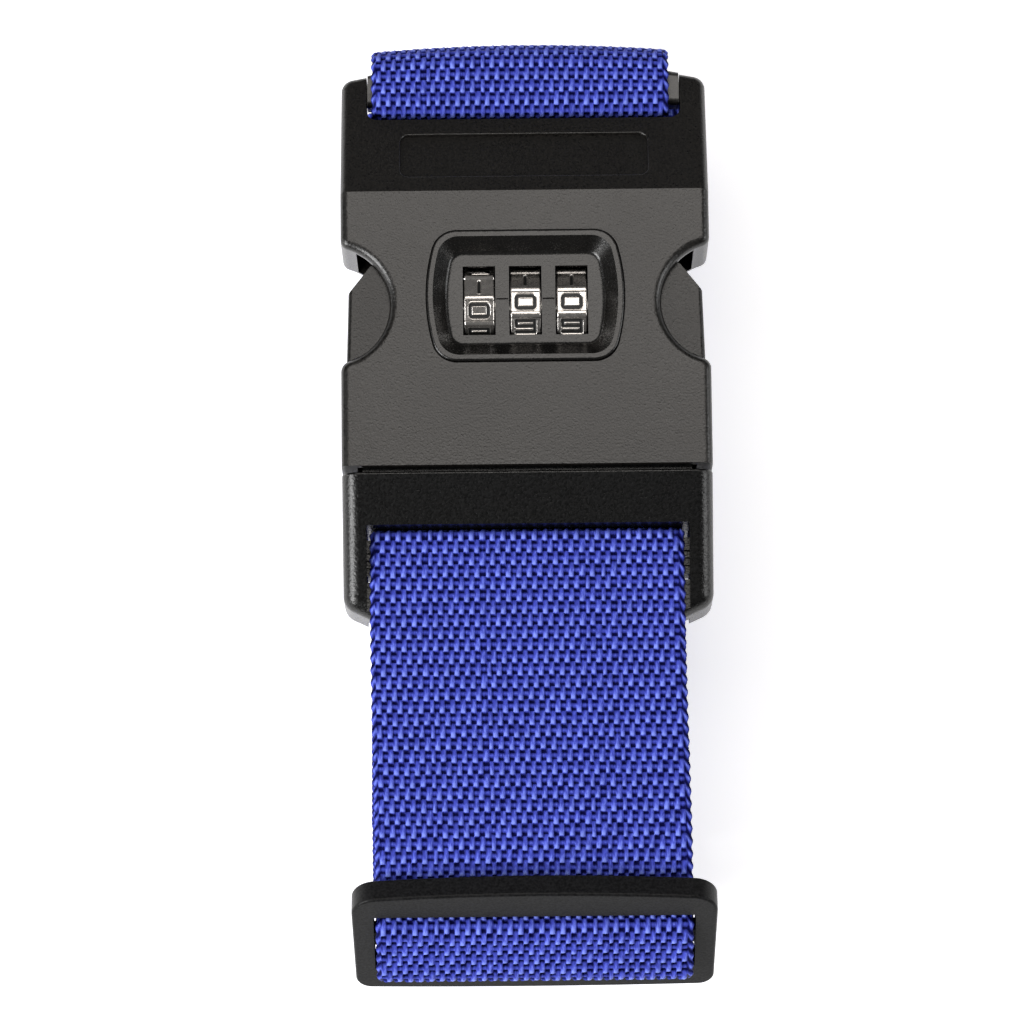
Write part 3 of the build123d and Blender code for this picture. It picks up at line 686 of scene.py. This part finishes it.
rear_flat_end = turn_y + 12.0
plug_flat_start = plug_end_y - 5.7
sewn_flat_end = turn_y + 9.5
rear_bend = 14.0
rear_z = rear_high[2] - half_thick
rear_line = rounded(
    [(turn_y, rear_z), (rear_flat_end, rear_z), (plug_flat_start, plug_back_z), (plug_end_y, plug_back_z)],
    [rear_bend, rear_bend],
)
rear_route = np.vstack([bend(rear_leg_low, 0, rear_radius), rear_line[1:]])
rear_leg = webbing(
    "rear_webbing",
    [band(rear_route, 0.0, stations=medium, per_pick=5)],
    ["rear_leg"],
)
sewn_route = np.vstack([bend(rear_leg_low, 0, sewn_radius), [(sewn_flat_end, turn_z + sewn_radius)]])
sewn_end = webbing(
    "sewn_webbing",
    [band(sewn_route, 0.0, stations=medium, per_pick=5)],
    ["sewn_end"],
)

# Hank: twelve layers folded to and fro, from the bottom turn up to the layer behind the buckle
layers = 12
hank_gap = 0.05
base_z = hank_low[2] + half_thick + hank_gap
top_z = hank_high[2] - half_thick - hank_gap
layer_pitch = (top_z - base_z) / (layers - 1)

# Each fold piece reaches this far to both sides, and the folds stand unevenly by a spread
fold_reach = 7.0
upper_inset, upper_spread = 0.9, 0.8
lower_inset, lower_spread = 2.0, 1.2
layer_drift = 0.7

# The first layer comes down onto the ground in a wide bend, and the folds are near full half circles
landing = 9.0
landing_bend = 30.0
fold_fullness = 0.999


def fold_place(k):
    """Where the fold at the end of layer k stands: odd layers end at +Y and even ones at -Y."""
    uneven = math.sin(2.4 * k + 0.5)
    if k == layers:
        return layer_low[1] - layer_pitch / 2
    if k % 2:
        return hank_high[1] - half_thick - upper_inset + upper_spread * uneven
    return hank_low[1] + half_thick + lower_inset + lower_spread * uneven


def hank_line():
    """The hank's centre line, with the length along it of each fold's middle."""
    corners = [(turn_y, turn_z - turn_radius), (turn_y + landing, base_z)]
    radii = [landing_bend]
    for k in range(1, layers + 1):
        z = base_z + layer_pitch * (k - 1)
        z_next = back_layer_z if k == layers else z + layer_pitch
        y = fold_place(k)
        corners += [(y, z), (y, z_next)]
        radii += [(z_next - z) / 2 * fold_fullness] * 2
    corners.append((layer_low[1], back_layer_z))
    line = rounded(corners, radii)
    s = along(line)
    middles = []
    for k in range(1, layers + 1):
        y = fold_place(k)
        z = (corners[2 * k][1] + corners[2 * k + 1][1]) / 2
        near = np.argmin(np.hypot(line[:, 0] - y, line[:, 1] - z))
        middles.append(s[near])
    return line, middles


hank_route, folds = hank_line()
hank_length = along(hank_route)[-1]
hank_v = turn_v + turn_length


def hank_drift(v):
    """Each layer lies a little to one side of the one below."""
    drift = [0.0] + [layer_drift * math.sin(1.9 * k) for k in range(1, layers)] + [0.0]
    return np.interp(v - hank_v, [0.0] + folds, drift)


base_end = folds[0] - fold_reach
base = webbing(
    "hank_base",
    [band(part_of(hank_route, 0, base_end), hank_v, stations=medium, per_pick=4, shift=hank_drift)],
    ["strap_hank"],
)
low_folds = []
high_folds = []
layer_bands = []
for k, fold in enumerate(folds, start=1):
    end = min(fold + fold_reach, hank_length)
    stretch = part_of(hank_route, fold - fold_reach, end)
    part = band(stretch, hank_v + fold - fold_reach, stations=medium, per_pick=5, shift=hank_drift)
    (high_folds if k % 2 else low_folds).append(part)
    if k < layers:
        stretch = part_of(hank_route, fold + fold_reach, folds[k] - fold_reach)
        start_v = hank_v + fold + fold_reach
        # Only the top layer shows its face, where the buckle stands clear of it
        cells, rows = (medium, 6) if k == layers - 1 else (edges_only, 4)
        layer_bands.append(band(stretch, start_v, stations=cells, per_pick=rows, shift=hank_drift))
hank_layers = webbing("hank_layers", layer_bands[:-1], ["strap_hank"])
hank_top = webbing("hank_top", layer_bands[-1:], ["strap_hank"])
hank_high_folds = webbing("hank_upper_folds", high_folds, ["strap_hank"])
hank_low_folds = webbing("hank_lower_folds", low_folds, ["strap_hank"])
for piece in (base, hank_layers, hank_top, hank_high_folds, hank_low_folds):
    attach(piece, "strap")

# Back layer, the wrap round the housing's web bar and the sewn tail
back_v = hank_v + hank_length
wrap_start_y = layer_high[1]
back_route = np.array([(layer_low[1], back_layer_z), (wrap_start_y, back_layer_z)])
back_length = wrap_start_y - layer_low[1]
back_layer = webbing(
    "back_webbing",
    [band(back_route, back_v, stations=edges_only, per_pick=4)],
    ["back_layer"],
)

wrap_top_y = wrap_high[1] - half_thick
wrap_front_z = wrap_high[2] - half_thick
wrap_width = wrap_high[0] - wrap_low[0]
wrap_shift = (wrap_high[0] + wrap_low[0]) / 2
wrap_inner_y = 63.95
wrap_arch = 1.0
arch_start_y = 66.0
arch_level = 0.75
wrap_route = rounded(
    [
        (wrap_start_y, back_layer_z),
        (wrap_top_y, back_layer_z),
        (wrap_top_y, wrap_front_z),
        (wrap_inner_y, wrap_front_z),
        (wrap_inner_y, tail_z),
        (tail_high[1], tail_z),
    ],
    [4.5, 4.5, 2.4, 0.9],
)
wrap_length = along(wrap_route)[-1]


def arch(points):
    """Bows the wrap's outer end, out at its middle and in at its edges."""
    share = 1 - ((points[:, 0] - wrap_shift) / (wrap_width / 2)) ** 2
    reach = smooth((points[:, 1] - arch_start_y) / (wrap_high[1] - arch_start_y))
    out = points.copy()
    out[:, 1] += wrap_arch * (share - arch_level) * reach
    return out


housing_wrap = webbing(
    "wrap_webbing",
    [band(wrap_route, back_v + back_length, width=wrap_width, shift=wrap_shift)],
    ["housing_wrap"],
    reshape=arch,
)
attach(housing_wrap, "housing")
tail_route = np.array([(tail_high[1], tail_z), (tail_low[1], tail_z)])
tail_v = back_v + back_length + wrap_length
housing_tail = webbing(
    "tail_webbing",
    [band(tail_route, tail_v, stations=edges_only, per_pick=4, width=wrap_width, shift=wrap_shift)],
    ["housing_tail"],
)
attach(housing_tail, "housing")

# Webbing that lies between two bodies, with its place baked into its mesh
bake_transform(back_layer)
for piece in (front_leg, rear_leg, sewn_end):
    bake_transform(piece)
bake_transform(bottom_turn)

# ---------------------------------------------------------------- stitching

stitch_length = 2.6
stitch_gap = 0.5
stitch_inset = 0.35
stitch_sink = 0.12
stitch_rise = 0.14
thread_radius = 0.22
thread_end = 0.25
thread_sides = 8
thread_rings = 9


def add_stitch(verts, faces, start, run, across, up):
    """Adds one stitch, a thin capsule along a run that dips into the cloth at both ends."""
    first = len(verts)
    for j in range(thread_rings):
        t = j / (thread_rings - 1)
        swell = math.sqrt(max(0.0, 1 - (2 * t - 1) ** 6))
        radius = thread_radius * (thread_end + (1 - thread_end) * swell)
        centre = start + t * run + up * stitch_rise * math.sin(math.pi * t)
        for k in range(thread_sides):
            angle = 2 * math.pi * k / thread_sides
            verts.append(centre + radius * (math.cos(angle) * across + math.sin(angle) * up))
    for j in range(thread_rings - 1):
        for k in range(thread_sides):
            a = first + j * thread_sides + k
            b = first + j * thread_sides + (k + 1) % thread_sides
            faces.append((a, b, b + thread_sides, a + thread_sides))
    last = first + (thread_rings - 1) * thread_sides
    faces.append(tuple(first + k for k in reversed(range(thread_sides))))
    faces.append(tuple(last + k for k in range(thread_sides)))


def stitch_mesh(runs):
    """Stitches with gaps between them, along runs of (start, end, up): vertices and faces."""
    verts = []
    faces = []
    for start, end, up in runs:
        start, end, up = (np.array(p, float) for p in (start, end, up))
        total = np.linalg.norm(end - start)
        count = max(1, int(round(total / (stitch_length + stitch_gap))))
        direction = (end - start) / total
        across = np.cross(up, direction)
        step = total / count
        for i in range(count):
            place = start + direction * (step * i + stitch_gap / 2)
            add_stitch(verts, faces, place, direction * (step - stitch_gap), across, up)
    return verts, faces


def box_cross(node, up):
    """The runs of a sewn rectangle with a cross in it, on the CAD stitching's own place."""
    low, high = box_mm(node)
    x0, y0 = low[:2] + stitch_inset
    x1, y1 = high[:2] - stitch_inset
    z = (high[2] if up > 0 else low[2]) - up * stitch_sink
    corners = [(x0, y0, z), (x1, y0, z), (x1, y1, z), (x0, y1, z)]
    pairs = [(0, 1), (1, 2), (2, 3), (3, 0), (0, 2), (1, 3)]
    return [(corners[a], corners[b], (0, 0, up)) for a, b in pairs]


def stitching(name, node, up):
    """Box-and-cross stitching that stands for a CAD stitching node."""
    verts, faces = stitch_mesh(box_cross(node, up))
    obj = new_object(name, verts, faces)
    obj.data.materials.append(thread_material)
    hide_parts(node)
    return obj


tail_thread = stitching("tail_thread", "tail_stitching", 1)
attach(tail_thread, "housing")
end_thread = stitching("end_thread", "end_stitching", -1)
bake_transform(end_thread)

# ---------------------------------------------------------------- reset spring

# The folded leaf in the X-Y plane. Only its shape counts: its middle goes to the CAD spring's middle
spring_points = [(5.1, -1.6), (9.8, -1.1), (5.4, 0.3), (9.8, 1.4)]
spring_bend = 0.5
spring_thick = 0.25


def reset_spring():
    """The reset lever's leaf spring, as a folded strip."""
    low, high = box_mm("reset_spring")
    line = rounded(spring_points, [spring_bend] * 2)
    tangent = np.gradient(line, along(line), axis=0)
    tangent /= np.linalg.norm(tangent, axis=1)[:, None]
    normal = np.column_stack([-tangent[:, 1], tangent[:, 0]]) * spring_thick / 2
    sides = [line + normal, line - normal]
    outline = np.concatenate(sides)
    move = (low[:2] + high[:2]) / 2 - (outline.min(axis=0) + outline.max(axis=0)) / 2
    corners = [(0, low[2]), (1, low[2]), (1, high[2]), (0, high[2])]
    edges = [np.column_stack([sides[side] + move, np.full(len(line), z)]) for side, z in corners]
    index = np.arange(4 * len(line)).reshape(-1, 4)
    faces = np.concatenate([tube_faces(index), index[:1], index[-1:, ::-1]])
    obj = new_object("reset_leaf", np.stack(edges, axis=1).reshape(-1, 3), faces.tolist())
    obj.data.shade_flat()
    obj.data.materials.append(steel_material)
    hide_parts("reset_spring")
    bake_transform(obj)


reset_spring()

# ---------------------------------------------------------------- engraved dials

digits = 10
face_rows = 40
ridge_rows = 5
dial_cells = 56
dial_bore = 4.0
rim_depth = 0.9
rim_width = 0.2
rim_drop = 0.18
face_radius = 6.5
ridge_radius = 7.0
ridge_half = 0.45
ridge_foot_half = 0.56
ridge_round = 0.1
number_half_width = 1.46
number_half_height = 1.0
zero_corner = 0.45
stroke_half = 0.24
stroke_inset = 0.03
stroke_slope = 0.1
engraving = 0.24
burr_height = 0.04
burr_offset = 0.15
burr_width = 0.07
dial_turns = {1: 12.0, 2: 0.0, 3: 0.0}

# Strokes of 1 to 9: left, centre or right, and 1 at the top, 0 at the middle, -1 at the bottom
L, C, R = -1, 0, 1
number_strokes = {
    1: [(C, 1), (C, -1)],
    2: [(L, 1), (R, 1), (R, 0), (L, 0), (L, -1), (R, -1)],
    3: [(L, 1), (R, 1), (R, 0), (L, 0), (R, 0), (R, -1), (L, -1)],
    4: [(L, 1), (L, 0), (R, 0), (R, 1), (R, -1)],
    5: [(R, 1), (L, 1), (L, 0), (R, 0), (R, -1), (L, -1)],
    6: [(R, 1), (L, 1), (L, -1), (R, -1), (R, 0), (L, 0)],
    7: [(L, 1), (R, 1), (C, -1)],
    8: [(L, 0), (L, 1), (R, 1), (R, -1), (L, -1), (L, 0), (R, 0)],
    9: [(R, 0), (L, 0), (L, 1), (R, 1), (R, -1), (L, -1)],
}


def to_zero(x, y):
    """The distance from points on a face to the 0, a loop with round corners."""
    qx = np.abs(x) - number_half_width + zero_corner
    qy = np.abs(y) - number_half_height + zero_corner
    outside = np.hypot(np.maximum(qx, 0), np.maximum(qy, 0))
    return np.abs(outside + np.minimum(np.maximum(qx, qy), 0) - zero_corner)


def to_stroke(x, y, number):
    """The distance from points on a face to a number's strokes."""
    best = np.full(x.shape, np.inf)
    path = [(px * number_half_width, py * number_half_height) for px, py in number_strokes[number]]
    for (x0, y0), (x1, y1) in zip(path, path[1:]):
        dx, dy = x1 - x0, y1 - y0
        t = np.clip(((x - x0) * dx + (y - y0) * dy) / (dx * dx + dy * dy), 0, 1)
        best = np.minimum(best, np.hypot(x - x0 - t * dx, y - y0 - t * dy))
    return best


def dial_rows():
    """Rows round a dial: angle, radius, place on the face, digit or -1 on a ridge, and if it is sharp."""
    half_step = math.pi / digits
    foot = half_step - ridge_foot_half / face_radius
    top = ridge_half / ridge_radius
    rows = []
    for digit in range(digits):
        face_angle = 2 * half_step * digit
        for i, local in enumerate(np.linspace(-foot, foot, face_rows)):
            radius = face_radius / math.cos(local)
            place = face_radius * math.tan(local)
            rows.append((face_angle + local, radius, place, digit, i in (0, face_rows - 1)))
        for i, part in enumerate(np.linspace(-1, 1, ridge_rows)):
            radius = ridge_radius - ridge_round * part**2
            rows.append((face_angle + half_step + top * part, radius, 0.0, -1, i in (0, ridge_rows - 1)))
    return rows


def engrave(radius, x, place, face):
    """Cuts the numbers into the faces of a grid of radii, and gives the ink at the bottom of the cuts."""
    grid_x, grid_y = np.meshgrid(x, place)
    ink = np.zeros_like(radius)
    for digit in range(digits):
        rows = face == digit
        on_face = (grid_x[rows], grid_y[rows])
        distance = to_stroke(*on_face, digit) if digit else to_zero(*on_face)
        cut = 1 - smooth((distance - stroke_half + stroke_inset) / stroke_slope)
        burr = np.exp(-((distance - stroke_half - burr_offset) / burr_width) ** 2)
        radius[rows] += burr_height * burr - engraving * cut
        ink[rows] = cut
    return ink


def rings_at(x, angle, radius):
    """Points at x and a radius round the axle, for each angle of a dial's rows."""
    y = np.sin(angle)[:, None] * radius
    z = np.cos(angle)[:, None] * radius
    return np.dstack([np.broadcast_to(x, y.shape), y, z])


def dial(number, node):
    """One dial: ten flat faces with engraved numbers, a raised ridge between each two, and a bore."""
    low, high = box_mm(node)
    width = high[0] - low[0]
    centre_x = (low[0] + high[0]) / 2
    axle_low, axle_high = box_mm("dial_axle")
    axis_y = (axle_low[1] + axle_high[1]) / 2
    axis_z = (axle_low[2] + axle_high[2]) / 2
    x = np.linspace(-width / 2, width / 2, dial_cells + 1)
    angle, base, place, face, sharp = (np.array(column) for column in zip(*dial_rows()))
    radius = np.repeat(base[:, None], dial_cells + 1, axis=1)
    ink = engrave(radius, x, place, face)
    radius -= rim_drop * np.clip((np.abs(x) - width / 2 + rim_width) / rim_width, 0, 1) ** 2
    # From the outer face down one side to the bore, and back up the other
    side_x = np.array([1, 1, -1, -1]) * width / 2
    rim = face_radius - rim_depth
    side_radius = np.tile([rim, dial_bore, dial_bore, rim], (len(angle), 1))
    rings = np.concatenate([rings_at(x, angle, radius), rings_at(side_x, angle, side_radius)], axis=1)
    count, around = rings.shape[:2]
    ink = np.concatenate([ink, np.zeros((count, len(side_x)))], axis=1)
    tilt = math.radians(dial_turns[number])
    y = rings[..., 1] * math.cos(tilt) - rings[..., 2] * math.sin(tilt)
    z = rings[..., 1] * math.sin(tilt) + rings[..., 2] * math.cos(tilt)
    verts = np.dstack([rings[..., 0] + centre_x, y + axis_y, z + axis_z]).reshape(-1, 3)
    index = np.arange(count * around).reshape(count, around)
    after = np.roll(index, -1, axis=0)
    faces = np.stack([index, np.roll(index, -1, axis=1), np.roll(after, -1, axis=1), after], axis=-1)
    faces = faces.reshape(-1, 4).tolist()
    ring_id = np.repeat(np.where(sharp, np.arange(count), -1), around)
    obj = new_object(f"number_dial_{number}", verts, faces, [("ink", ink.ravel())], sharp=ring_id)
    obj.data.materials.append(dial_material)
    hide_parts(node)
    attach(obj, node)


for number in (1, 2, 3):
    dial(number, f"dial_{number}")

# ---------------------------------------------------------------- stage, lights and camera

floor_mesh = bpy.data.meshes.new("floor")
reach = 20.0
floor_drop = 0.0002
floor_corners = [(-reach, -reach, 0), (reach, -reach, 0), (reach, reach, 0), (-reach, reach, 0)]
floor_mesh.from_pydata(floor_corners, [], [(0, 1, 2, 3)])
floor = bpy.data.objects.new("floor", floor_mesh)
floor.location.z = -floor_drop
bpy.context.scene.collection.objects.link(floor)
paper = Nodes("white_paper")
white = (0.93, 0.93, 0.93)
lit = {"Emission_Color": (1.0, 1.0, 1.0), "Emission_Strength": 0.50}
floor_mesh.materials.append(paper.finish(Base_Color=white, Roughness=0.9, Specular_IOR_Level=0.1, **lit))


def area_light(name, place, target, size, power, colour=(1.0, 1.0, 1.0)):
    """A rectangular soft light that faces a point."""
    data = bpy.data.lights.new(name, "AREA")
    data.shape = "RECTANGLE"
    data.size, data.size_y = size
    data.energy = power
    data.color = colour
    obj = bpy.data.objects.new(name, data)
    obj.location = place
    obj.rotation_euler = (Vector(target) - Vector(place)).to_track_quat("-Z", "Y").to_euler()
    bpy.context.scene.collection.objects.link(obj)


buckle = (0.0, 0.0, 0.02)
area_light("overhead", (0.0, 0.40, 1.11), buckle, (0.80, 0.56), 5.2, (1.0, 0.955, 0.91))
area_light("left_side", (-0.80, -0.42, 0.62), buckle, (0.66, 0.58), 17.0)
area_light("right_side", (0.92, -0.05, 0.50), buckle, (0.6, 0.45), 4.0)

world = bpy.data.worlds.new("studio")
world.use_nodes = True
background = world.node_tree.nodes["Background"]
background.inputs["Color"].default_value = (1.0, 1.0, 1.0, 1.0)
background.inputs["Strength"].default_value = 0.12
bpy.context.scene.world = world
bpy.context.scene.view_settings.view_transform = "Standard"

camera_data = bpy.data.cameras.new("camera")
camera_data.sensor_width = 36.0
camera_data.lens = 199.3
camera_data.clip_end = 20.0
camera = bpy.data.objects.new("camera", camera_data)
camera.location = (-0.0025, -0.1745, 0.9215)
camera_target = Vector((-0.0025, -0.0028, 0.038))
camera_roll = Quaternion((0, 0, 1), math.radians(-0.6))
facing = (camera_target - camera.location).to_track_quat("-Z", "Y")
camera.rotation_euler = (facing @ camera_roll).to_euler()
bpy.context.scene.collection.objects.link(camera)
bpy.context.scene.camera = camera

bpy.context.view_layer.update()
